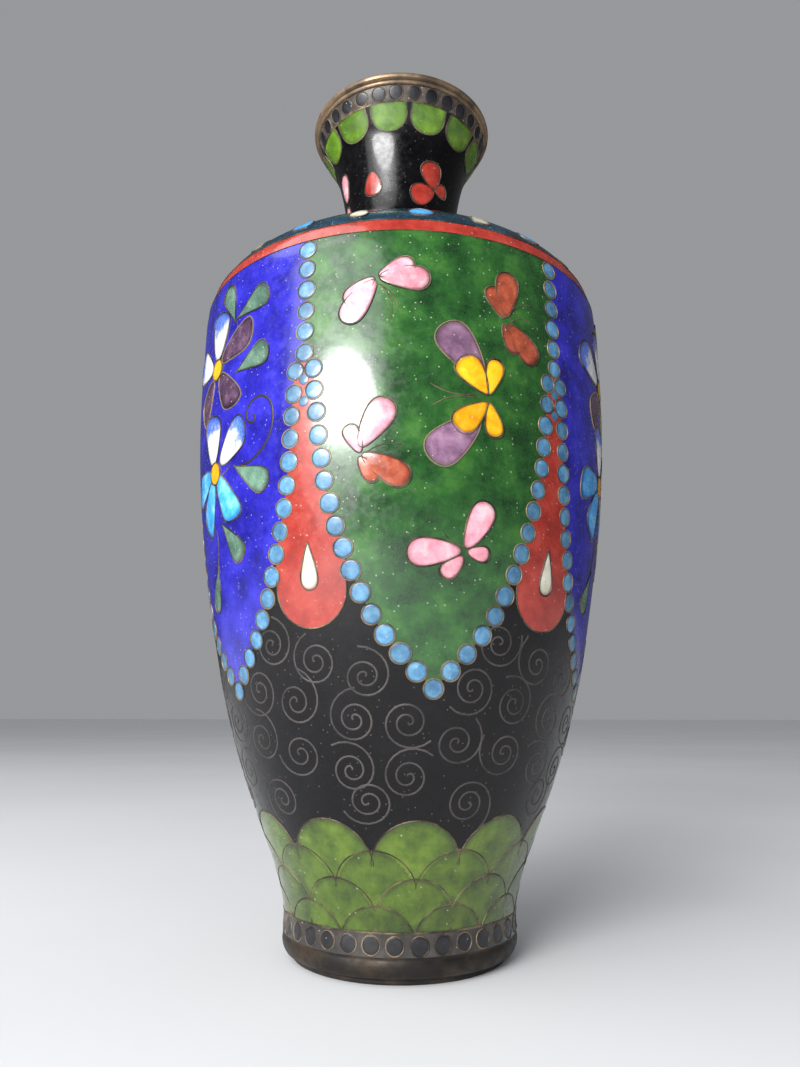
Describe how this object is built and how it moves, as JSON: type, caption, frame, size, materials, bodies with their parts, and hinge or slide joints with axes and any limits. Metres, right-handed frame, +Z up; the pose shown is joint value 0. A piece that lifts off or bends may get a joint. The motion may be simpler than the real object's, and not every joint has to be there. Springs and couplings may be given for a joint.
{
  "type": "cloisonne vase",
  "caption": "Small shouldered vase of copper dressed in enamel cells between brass wires, with a flared neck, a brass lip ring and a brass foot ring.",
  "frame": {"origin": "centre of the underside of the foot ring, on the surface the vase stands on", "axes": "+Z up the axis of the vase, from foot to lip; -Y faces the middle of the front green panel"},
  "size_m": [0.0724, 0.0724, 0.152],
  "materials": {
    "copper": "tarnished copper sheet",
    "foot_metal": "dark patinated brass, brighter at the lower edge",
    "lip_metal": "worn brown-gold brass",
    "cell_wire": "dull thin brass wire, polished flush",
    "lining": "glossy counter-enamel",
    "black_enamel": "polished black enamel, finely pitted",
    "teal_enamel": "polished dark teal enamel",
    "border_enamel": "grey-brown enamel",
    "dot_enamel": "polished black enamel",
    "lime_enamel": "translucent yellow-green enamel",
    "scale_enamel": "mottled yellow-green enamel",
    "red_enamel": "polished coral-red enamel",
    "green_enamel": "mottled green enamel",
    "blue_enamel": "mottled ultramarine enamel",
    "bead_enamel": "sky-blue enamel",
    "pink_enamel": "pink and white enamel",
    "russet_enamel": "red-brown enamel",
    "yellow_enamel": "orange-yellow enamel",
    "mauve_enamel": "mauve enamel",
    "white_enamel": "white enamel",
    "petal_enamel": "white enamel shading to blue",
    "sky_enamel": "light blue enamel",
    "violet_enamel": "grey-violet enamel edged white",
    "leaf_enamel": "grey-green enamel"
  },
  "bodies": {
    "root": {"copper_bowl": "copper", "copper_belly": "copper", "copper_shoulder": "copper", "copper_neck": "copper", "base_plate": "copper", "foot_ring": "foot_metal", "lip_ring": "lip_metal", "inner_enamel": "lining", "base_enamel": "lining", "lip_dots_enamel": "dot_enamel", "lip_dot_wires": "cell_wire", "lip_border_enamel": "border_enamel", "lip_petals_enamel": "lime_enamel", "lip_petal_wires": "cell_wire", "neck_petals_red_enamel": "red_enamel", "neck_petals_pink_enamel": "pink_enamel", "neck_wires": "cell_wire", "neck_ground_enamel": "black_enamel", "shoulder_petals_blue_enamel": "blue_enamel", "shoulder_petals_white_enamel": "white_enamel", "shoulder_wires": "cell_wire", "shoulder_ground_enamel": "teal_enamel", "shoulder_band_enamel": "red_enamel", "pearl_beads_enamel": "bead_enamel", "bead_wires": "cell_wire", "wings_pink_enamel": "pink_enamel", "wings_red_enamel": "russet_enamel", "wings_yellow_enamel": "yellow_enamel", "wings_mauve_enamel": "mauve_enamel", "butterfly_wires": "cell_wire", "flower_wires": "cell_wire", "flower_centres_enamel": "yellow_enamel", "flower_petals_white_enamel": "petal_enamel", "flower_petals_blue_enamel": "sky_enamel", "flower_petals_violet_enamel": "violet_enamel", "leaves_enamel": "leaf_enamel", "green_panel_1": "green_enamel", "green_panel_2": "green_enamel", "green_panel_3": "green_enamel", "blue_panel_1": "blue_enamel", "blue_panel_2": "blue_enamel", "blue_panel_3": "blue_enamel", "white_drops_enamel": "white_enamel", "red_drops_enamel": "red_enamel", "drop_wires": "cell_wire", "scales_enamel": "scale_enamel", "scale_wires": "cell_wire", "curl_wires": "cell_wire", "lower_ground_enamel": "black_enamel", "foot_dots_enamel": "dot_enamel", "foot_dot_wires": "cell_wire", "foot_border_enamel": "border_enamel", "border_wires": "cell_wire"}
  },
  "joints": []
}
